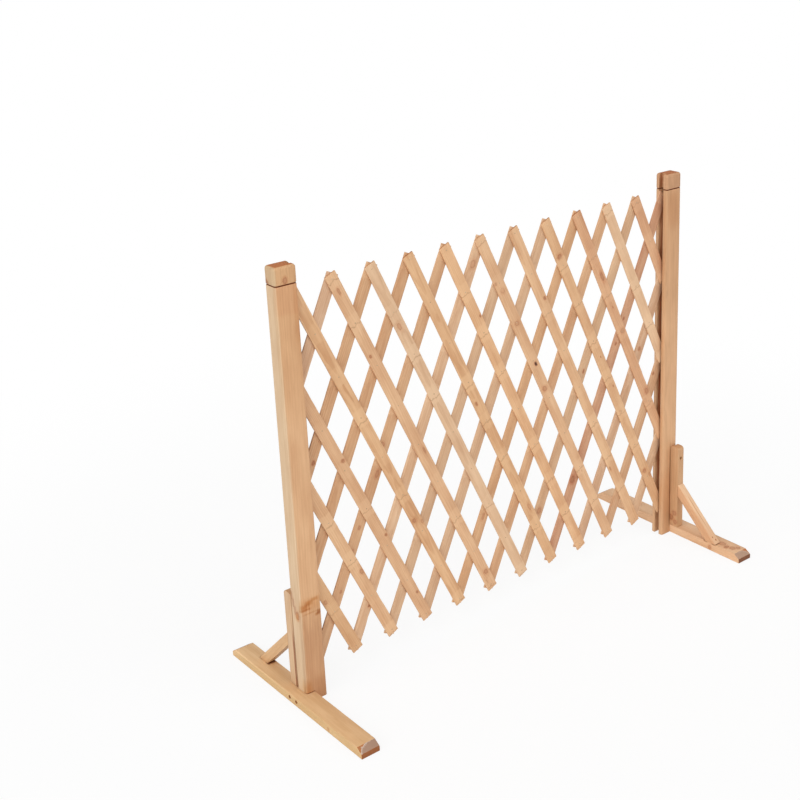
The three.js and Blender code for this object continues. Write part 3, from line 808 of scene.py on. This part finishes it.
def soften_lips(bm, prefix, mouth, floor):
    """Round the long edges of a channel at its mouth and at its floor."""
    place = local_place(prefix)
    edges_x = place(mouth, 0, 0).x, place(floor, 0, 0).x
    near = 0.01 * MM

    def is_lip(edge):
        on_wall = all(abs(abs(v.co.y) - SLOT / 2 * MM) < near for v in edge.verts)
        upright = abs(edge.verts[0].co.z - edge.verts[1].co.z) > 10 * LIP_EDGE * MM
        return on_wall and upright and all(min(abs(v.co.x - x) for x in edges_x) < near for v in edge.verts)

    return soften(bm, LIP_EDGE, 2, is_lip)


def make_board(prefix, kind, bm, start, along, length, name="board", more_stains_and_light=()):
    """Make a worn piece from bm and return its wood. Its grain runs along from start, in the post's axes."""
    node = f"{prefix}_{kind}"
    step, sag, dent, seed = KINDS[kind]
    if prefix == "far":
        seed += 1
    origin, grain = local_place(prefix)(*start), local_way(prefix, *along).normalized()
    slice_along(bm, origin, grain, length, step)
    board = board_matrix(origin, grain, local_way(prefix, 1, 0, 0))
    wear(bm, board, seed, sag, dent)
    material = wood(f"{node}_wood", board, seed, *BOARD_WOOD[node], **BOARD_CUT[kind],
                    knots=KNOTS.get(node, ()), stains_and_light=(*STAINS_AND_LIGHT.get(node, ()), *more_stains_and_light))
    finish_mesh(f"{node}_{name}", bm, material, f"{prefix}_post", [node])
    return material


def make_post(prefix):
    place = local_place(prefix)
    low, high = local_box(prefix, "post")
    _, foot_high = local_box(prefix, "foot")
    channel = local_block(prefix, (low.x + WEB, -SLOT / 2, low.z - OVERRUN),
                          (high.x + OVERRUN, SLOT / 2, high.z + OVERRUN))
    foot_seat = local_block(prefix, (low.x - OVERRUN, low.y - OVERRUN, low.z - OVERRUN),
                            (foot_high.x + SEAT_GAP, high.y + OVERRUN, foot_high.z + SEAT_GAP))
    bm = stack([(section(low, high, 0), low.z)] + rounded_levels(low, high, JOINT_EDGE, high.z, 1), place)
    bm = soften_lips(cut(bm, [channel, foot_seat]), prefix, high.x, low.x + WEB)
    # Painted shadow on the post where it sits on its foot.
    contact_shadow = stain_and_painted_light((foot_high.z + SEAT_GAP, (low.x + foot_high.x) / 2, low.y),
                    (2, (foot_high.x - low.x) / 2 + 1, 6), PAINTED_JOINT_SHADE)
    make_board(prefix, "post", bm, (0, 0, 0), (0, 0, 1), high.z, more_stains_and_light=[contact_shadow])


def make_cap(prefix):
    """A cap block and its spigot, which stands in the top of the channel."""
    place = local_place(prefix)
    low, high = local_box(prefix, "post")
    base, top = high.z + SEAT_GAP, high.z + CAP_HEIGHT
    levels = rounded_levels(low, high, JOINT_EDGE, base, -1) + rounded_levels(low, high, CAP_EDGE, top, 1)
    groove = high.x - CAP_GROOVE
    bm = cut(stack(levels, place), [local_block(prefix, (groove, -SLOT / 2, base - OVERRUN),
                                                (high.x + OVERRUN, SLOT / 2, top + OVERRUN))])
    bm = soften_lips(bm, prefix, high.x, groove)
    material = make_board(prefix, "cap", bm, (0, 0, base), (0, 0, 1), CAP_HEIGHT, "block")
    half, start = SLOT / 2 - SEAT_GAP, low.x + WEB + SEAT_GAP
    spigot = local_block(prefix, (start, -half, base - SPIGOT), (start + SPIGOT, half, base + JOINT_EDGE))
    soften(spigot, SPIGOT_EDGE)
    finish_mesh(f"{prefix}_cap_spigot", spigot, material, f"{prefix}_post", [])


def sawn_board(prefix, kind, outline, edge=SMALL_EDGE):
    """A board of the foot with softened edges. Its outline is in the post's y and z."""
    place = local_place(prefix)
    low, high = local_box(prefix, kind)
    return soften(prism(outline, low.x, high.x, lambda u, v, w: place(w, u, v)), edge)


def screw_hole(start, direction, recess):
    """A round drill for a sunk screw head. Its start is on the surface, in metres."""
    radius, depth = SCREW_HEAD + HOLE_CLEARANCE, recess + SCREW_HEAD_HEIGHT
    return lathe([(0, -depth), (radius, -depth), (radius, depth), (0, depth)], start, direction)


def middle_of(prefix, node):
    low, high = local_box(prefix, node)
    return (low + high) / 2


def brace_angle(prefix):
    """How steeply the brace falls."""
    low, high = local_box(prefix, "brace")
    return math.atan2(high.z - low.z, high.y - low.y)


def make_foot(prefix):
    place = local_place(prefix)
    low, high = local_box(prefix, "foot")
    chamfer_z = high.z - FOOT_END_CHAMFER
    outline = [(low.y, low.z), (high.y, low.z), (high.y, chamfer_z), (high.y - FOOT_END_RUN, high.z),
               (low.y + FOOT_END_RUN, high.z), (low.y, chamfer_z)]
    brace_low, brace_high = local_box(prefix, "brace")
    inner = brace_high.y - BRACE_DEPTH / math.sin(brace_angle(prefix))
    middle, half_width = (brace_low.x + brace_high.x) / 2 - low.x, (brace_high.x - brace_low.x) / 2
    shadows = [stain_and_painted_light((y - low.y, middle, (low.z - high.z) / 2), (reach, half_width, SHADOW_DEPTH), tint, soft)
               for y, reach, tint, soft in ((brace_high.y - TIP_INSET, TIP_SHADOW, PAINTED_DEEP_SHADE, 0.3),
                                            (inner, INNER_SHADOW, UNDER_BRACE, 0.35))]
    screws = [middle_of(prefix, f"foot_screw_{number}") for number in (1, 2)]
    drills = [screw_hole(place(low.x, screw.y, screw.z), local_way(prefix, 1, 0, 0), FOOT_SCREW_RECESS)
              for screw in screws]
    length = high.y - low.y
    make_board(prefix, "foot", cut(sawn_board(prefix, "foot", outline, FOOT_EDGE), drills),
               (low.x, low.y, (low.z + high.z) / 2), (0, 1, 0), length,
               more_stains_and_light=shadows + end_stains(prefix, length, high.x - low.x))


def end_stains(prefix, length, width):
    """The stains of both sawn ends of a foot."""
    return [stain_and_painted_light((end + outward * out, width * across, through), (along, width * side, down), tint[prefix],
                  soft, cover, ends_only=True)
            for end, outward in ((0, -1), (length, 1))
            for (out, across, through), (along, side, down), tint, soft, cover in END_STAINS]


def make_upright(prefix):
    low, high = local_box(prefix, "upright")
    outline = rounded_polygon([(low.y, low.z, 0), (high.y, low.z, 0), (high.y, high.z, UPRIGHT_ROUNDING),
                               (low.y, high.z, UPRIGHT_ROUNDING)])
    screw = middle_of(prefix, "upright_screw")
    drill = screw_hole(local_place(prefix)(screw.x, high.y, screw.z), local_way(prefix, 0, -1, 0),
                       UPRIGHT_SCREW_RECESS)
    make_board(prefix, "upright", cut(sawn_board(prefix, "upright", outline), [drill]),
               (low.x, (low.y + high.y) / 2, low.z), (0, 0, 1), high.z - low.z)


def make_brace(prefix):
    low, high = local_box(prefix, "brace")
    angle = brace_angle(prefix)
    outline = [(low.y, high.z - BRACE_DEPTH / math.cos(angle)),
               (high.y - BRACE_DEPTH / math.sin(angle), low.z), (high.y, low.z), (low.y, high.z)]
    make_board(prefix, "brace", sawn_board(prefix, "brace", outline), (low.x, low.y, high.z),
               (0, math.cos(angle), -math.sin(angle)), math.hypot(high.y - low.y, high.z - low.z))


def screw_profile(length):
    first = SCREW_HEAD_HEIGHT + THREAD_START
    thread = [(SCREW_SHANK * THREAD_SHARES[i % 2], first + THREAD_STEP * i)
              for i in range(int((length - SCREW_TIP - SCREW_HEAD_HEIGHT - THREAD_START) / THREAD_STEP))]
    recess = [(0, 1.6), (0.9, 1.5), (1.1, 0.1)]
    head = [(SCREW_HEAD - 0.2, 0), (SCREW_HEAD, 0.25), (SCREW_SHANK * 0.8, SCREW_HEAD_HEIGHT)]
    return recess + head + thread + [(SCREW_SHANK * 0.6, length - SCREW_TIP), (0, length)]


def brad_profile(length):
    return [(0, 0.1), (BRAD_HEAD * 0.7, 0.05), (BRAD_HEAD, 0.3), (BRAD_SHANK, BRAD_HEAD_HEIGHT),
            (BRAD_SHANK, length - BRAD_TIP), (0, length)]


def pin_profile(length):
    return [(0, 0), (PIN_RADIUS - PIN_EDGE, 0), (PIN_RADIUS, PIN_EDGE), (PIN_RADIUS, length - PIN_EDGE),
            (PIN_RADIUS - PIN_EDGE, length), (0, length)]


def make_fasteners(prefix, steel, zinc):
    """The screws, brads and pin of a post and its foot. Each turned piece starts at its head."""
    place = local_place(prefix)

    def turned(node, axis, way, profile, material, sides=ROUND_SIDES):
        low, high = local_box(prefix, node)
        start = (low + high) / 2
        start[axis] = low[axis] if way == 1 else high[axis]
        direction = [way if i == axis else 0 for i in range(3)]
        bm = lathe(profile(high[axis] - low[axis]), place(*start), local_way(prefix, *direction), sides)
        finish_mesh(f"{prefix}_{node}_turned", bm, material, f"{prefix}_post", [f"{prefix}_{node}"])

    for node, axis, way in (("foot_screw_1", 0, 1), ("foot_screw_2", 0, 1), ("upright_screw", 1, -1)):
        turned(node, axis, way, screw_profile, zinc)
    for node, axis, way in (("upright_brad", 2, 1), ("brace_top_brad", 1, -1), ("brace_foot_brad", 2, -1)):
        turned(node, axis, way, brad_profile, steel, SMALL_SIDES)
    turned("pivot_pin", 1, 1, pin_profile, steel)


# Lattice

def crossing(column, row):
    """A crossing's place in metres, in the middle plane between the layers. Rows count from the bottom."""
    top = middle_of("near", "pivot_pin").z
    x = (2 * column - COLUMNS) * SLAT_PITCH * math.cos(SLAT_ANGLE)
    return Vector((x, 0, top - (ROWS - row) * SLAT_PITCH * math.sin(SLAT_ANGLE))) * MM


def tinted(code, shift):
    """A hex colour with each channel moved by its shift, in steps of 1/255."""
    values = [min(255, max(0, int(code[i:i + 2], 16) + round(s))) for i, s in zip((0, 2, 4), shift)]
    return "".join(f"{value:02x}" for value in values)


def make_slat(layer, index, rng, steel):
    """A slat and, if it is in front, its rivets. Rows count up on a back slat and down on a front slat."""
    number = index - FIRST_SLAT + 1
    node = f"{layer}_slat_{number:02d}"
    rows = range(max(0, -2 * index), min(ROWS, 2 * (COLUMNS - index)) + 1)
    side = -1 if layer == "front" else 1
    angle = side * SLAT_ANGLE
    direction = Vector((math.cos(angle), 0, math.sin(angle)))
    across = Vector((-math.sin(angle), 0, math.cos(angle)))
    columns = [index + rows[i] / 2 for i in (0, -1)]
    left = crossing(columns[0], ROWS - rows[0] if layer == "front" else rows[0])
    overruns = [CHANNEL_TIP if column in (0, COLUMNS) else FREE_TIP for column in columns]
    start, end = -overruns[0], (len(rows) - 1) * SLAT_PITCH + overruns[1]
    half = SLAT_WIDTH / 2 - rng.uniform(-WIDTH_SCATTER, WIDTH_SCATTER)
    skews = [math.tan(math.radians(rng.uniform(-SKEW_DEGREES, SKEW_DEGREES))) * half for _ in range(2)]
    outline = [(start + max(0, skews[0]), -half), (end - max(0, skews[1]), -half),
               (end + min(0, skews[1]), half), (start - min(0, skews[0]), half)]
    inner, outer = LAYER_GAP / 2, LAYER_GAP / 2 + SLAT_THICKNESS
    depth = Vector((0, side, 0))
    bm = prism(outline, inner, outer,
               lambda u, v, w: left + (direction * u + across * v + depth * w) * MM)
    soften(bm, SLAT_EDGE, 2)
    slice_along(bm, left + direction * start * MM, direction, end - start, SLAT_SLICE)
    board = board_matrix(left + depth * (inner + outer) / 2 * MM, direction, across)
    seed = number + SLAT_SEED[layer]
    wear(bm, board, seed, SLAT_SAG, SLAT_DENT)
    # Painted shade: a back slat is made darker and a little bluer than a front slat of the same tone.
    shade, shade_blue = (BACK_SHADE, BACK_SHADE_BLUE) if layer == "back" else (0, 0)
    light = rng.uniform(*LIGHT_SCATTER) - shade
    warm = rng.uniform(-WARM_SCATTER, WARM_SCATTER)
    shift = (light + warm, light, light - 2 * warm + shade_blue)
    pale, deep = (tinted(code, shift) for code in SLAT_WOOD[SLAT_TONES[layer][number - 1]])
    knots = [(steps * SLAT_PITCH, side_mm, 0, *rest)
             for steps, side_mm, *rest in SLAT_KNOTS[layer].get(number, ())]
    pith = (0, rng.uniform(-PITH_ACROSS, PITH_ACROSS), rng.uniform(*PITH_THROUGH) * rng.choice((-1, 1)))
    material = wood(f"{node}_wood", board, seed, pale, deep, pith, rng.uniform(*SLAT_RINGS),
                    rng.uniform(*SLAT_CONTRAST), knots, STAINS_AND_LIGHT.get(node, ()), clamped=True, end_tint="c99f7e")
    finish_mesh(f"{node}_board", bm, material, node, [node])
    if layer == "front":
        places = [left + direction * (row - rows[0]) * SLAT_PITCH * MM
                  for row in rows if FIRST_SLAT <= index + row - ROWS // 2 < COLUMNS]
        make_rivets(node, places, steel)


def make_rivets(node, places, steel):
    """The rivets of a front slat: a low dome in front and a smaller one behind the back slat."""
    front = -(LAYER_GAP / 2 + SLAT_THICKNESS)
    behind = -front + RIVET_REST
    dome = [(RIVET_HEAD * math.sin(angle), front - RIVET_RISE * math.cos(angle)) for angle in QUARTER_TURN]
    rear = [(RIVET_HEAD * RIVET_REAR_SHARE * math.cos(angle), behind + RIVET_RISE * math.sin(angle))
            for angle in QUARTER_TURN[:-1]]
    shank = [(RIVET_SHANK, front + RIVET_COLLAR), (RIVET_SHANK, behind - 0.01)]
    profile = dome + shank + rear + [(0, behind + RIVET_RISE)]
    bm = bmesh.new()
    for place in places:
        lathe(profile, place, (0, 1, 0), SMALL_SIDES, bm)
    finish_mesh(f"{node}_rivets", bm, steel, node, [])


# Surroundings

def make_camera():
    data = bpy.data.cameras.new("camera")
    data.sensor_width = SENSOR_MM
    data.lens = FOCAL_PIXELS * SENSOR_MM / FRAME_PIXELS
    data.shift_x = (FRAME_PIXELS / 2 - AIM_PIXEL[0]) / FRAME_PIXELS
    data.shift_y = (AIM_PIXEL[1] - FRAME_PIXELS / 2) / FRAME_PIXELS
    data.clip_end = CAMERA_REACH
    camera = bpy.data.objects.new("camera", data)
    forward, right = CAMERA_FORWARD.normalized(), CAMERA_RIGHT.normalized()
    camera.matrix_world = Matrix((right, right.cross(forward), -forward)).transposed().to_4x4()
    camera.matrix_world.translation = CAMERA_PLACE
    bpy.context.scene.collection.objects.link(camera)
    bpy.context.scene.camera = camera


def soft_sun(name, towards_light, level, spread):
    """A wide soft light that adds level times a surface's colour where it faces the light."""
    data = bpy.data.lights.new(name, "SUN")
    data.energy = level * math.pi
    data.angle = math.radians(spread)
    sun = bpy.data.objects.new(name, data)
    sun.matrix_world = Vector(towards_light).to_track_quat("Z", "Y").to_matrix().to_4x4()
    bpy.context.scene.collection.objects.link(sun)


def make_world():
    """An even white light that looks plain white to the camera and in reflections."""
    world = bpy.data.worlds.new("studio")
    world.use_nodes = True
    t = Tree(world.node_tree)
    background = world.node_tree.nodes["Background"]
    background.inputs["Color"].default_value = (1, 1, 1, 1)
    rays = t.add("ShaderNodeLightPath").outputs
    reflected = t.math("MAXIMUM", rays["Is Glossy Ray"], rays["Is Transmission Ray"])
    seen = t.math("MAXIMUM", rays["Is Camera Ray"], reflected)
    t.feed(background.inputs["Strength"], t.times_plus(seen, 1 - WORLD_LEVEL, WORLD_LEVEL))
    bpy.context.scene.world = world


def make_floor():
    """A plain white floor that keeps a soft shadow close to the fence and is plain white farther out."""
    bm = bmesh.new()
    bmesh.ops.create_circle(bm, cap_ends=True, segments=64, radius=FLOOR_RADIUS)
    floor = holder("floor", bm)
    floor.location.z = -FLOOR_DROP * MM
    material, t, shader = new_material("floor")
    material.node_tree.nodes.remove(shader)
    rays = t.add("ShaderNodeLightPath").outputs
    seen = t.math("MAXIMUM", rays["Is Camera Ray"], rays["Is Glossy Ray"])
    place = t.add("ShaderNodeTexCoord").outputs["Object"]
    distance = t.vector("LENGTH", t.vector("MULTIPLY", place, (1, 1, 0)))
    plain = t.band(distance, *FLOOR_FADE, FLOOR_SHADE, 1)
    diffuse = t.add("ShaderNodeBsdfDiffuse", {"Color": (0.93, 0.93, 0.93, 1)}).outputs[0]
    white = t.add("ShaderNodeEmission", {"Color": (1, 1, 1, 1), "Strength": 1}).outputs[0]
    mixed = t.add("ShaderNodeMixShader", {0: t.times(seen, plain), 1: diffuse, 2: white})
    t.feed(material.node_tree.nodes["Material Output"].inputs["Surface"], mixed.outputs[0])
    floor.data.materials.append(material)


make_camera()
make_world()
soft_sun("left_light", (-0.85, -0.2, 0.5), 0.56, 60)
soft_sun("right_light", (0.3, -0.75, 0.6), 0.27, 50)
make_floor()

steel = metal("steel", "dabf9f", "a88a6a", 0.45)
zinc = metal("yellow_zinc", "c9ad68", "9b7f45", 0.3)
for prefix in ("near", "far"):
    make_post(prefix)
    make_cap(prefix)
    make_foot(prefix)
    make_upright(prefix)
    make_brace(prefix)
    make_fasteners(prefix, steel, zinc)

rng = random.Random(SCATTER_SEED)
for layer in ("front", "back"):
    for index in range(FIRST_SLAT, COLUMNS):
        make_slat(layer, index, rng, steel)

bpy.context.scene.view_settings.view_transform = "Standard"
